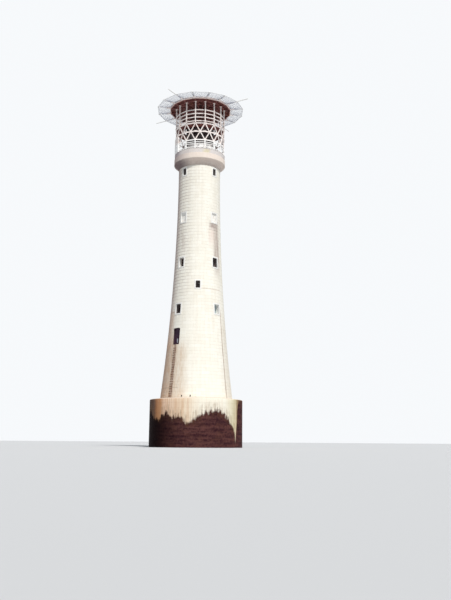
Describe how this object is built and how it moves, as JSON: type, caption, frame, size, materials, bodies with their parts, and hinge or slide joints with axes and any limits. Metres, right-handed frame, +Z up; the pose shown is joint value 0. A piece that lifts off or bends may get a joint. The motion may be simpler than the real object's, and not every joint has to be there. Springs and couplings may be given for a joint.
{
  "type": "rock lighthouse with a helicopter deck, scale model at 1:2",
  "caption": "Tapering granite rock lighthouse on a drum base, with a hollow tower, hinged entrance doors, a lantern in a lattice cage and a helicopter deck with a safety net.",
  "frame": {"origin": "middle of the underside of the base drum", "axes": "+Z up the tower, -Y out of the entrance doorway, +X to the right of the doorway as seen from outside"},
  "size_m": [7.8596, 7.8596, 24.3228],
  "materials": {
    "granite": "weathered, matt",
    "base_granite": "wet and tide-stained, matt",
    "floor_stone": "matt",
    "white_stone": "painted, matt",
    "grey_kerb": "painted, matt, stained",
    "rusted_iron": "rusted",
    "dark_iron": "painted, satin",
    "door_metal": "dark, weathered",
    "frame_metal": "painted, satin",
    "window_glass": "clear, dark behind",
    "white_board": "painted, matt",
    "white_steel": "painted, satin, rust at the joints",
    "roof_metal": "painted, weathered",
    "lens_glass": "ribbed, clear",
    "deck_steel": "painted, rusted",
    "deck_plating": "brushed, weathered",
    "lamp_glass": "frosted",
    "galvanised_steel": "galvanised",
    "net_cord": "knotted cord"
  },
  "bodies": {
    "tower": {"base_drum": "base_granite", "base_top_course": "base_granite", "tower_foot": "granite", "ladder_rungs": "rusted_iron", "entrance_wall_left": "granite", "entrance_wall_right": "granite", "entrance_wall_back": "granite", "entrance_lintel": "granite", "door_frame": "door_metal", "second_storey_wall": "granite", "third_storey_wall": "granite", "fourth_storey_wall": "granite", "fifth_storey_wall": "granite", "top_storey_wall": "granite", "storey_floors": "floor_stone", "window_surrounds": "white_stone", "window_frames": "frame_metal", "window_glass": "window_glass", "window_shutters": "white_board", "gallery_cornice": "granite", "gallery_floor": "floor_stone", "gallery_kerb": "grey_kerb", "gallery_rails": "white_steel", "gallery_cabinet": "white_steel", "lantern_murette": "white_steel", "lantern_frame": "frame_metal", "lantern_glass": "window_glass", "lantern_roof": "roof_metal", "lantern_vent": "roof_metal", "optic_pedestal": "dark_iron", "optic_lens": "lens_glass", "cage_posts": "white_steel", "cage_lattice": "white_steel", "cage_louvres": "white_steel", "cage_walk": "deck_steel", "deck_frame": "deck_steel", "deck_plate": "deck_plating", "deck_fascia": "white_steel", "deck_lights": "lamp_glass", "net_sleeves": "white_steel", "net_arms": "galvanised_steel", "net_rim": "galvanised_steel", "net_panels": "net_cord"},
    "left_leaf": {"door_leaf_left": "door_metal"},
    "right_leaf": {"door_leaf_right": "door_metal"}
  },
  "joints": [
    {"name": "left_leaf_hinge", "type": "hinge", "parent": "tower", "child": "left_leaf", "pos_m": [-0.3519, -1.8087, 6.76], "axis": [0, 0, 1], "range_deg": [0, 90]},
    {"name": "right_leaf_hinge", "type": "hinge", "parent": "tower", "child": "right_leaf", "pos_m": [0.3519, -1.8087, 6.76], "axis": [0, 0, -1], "range_deg": [0, 90]}
  ]
}
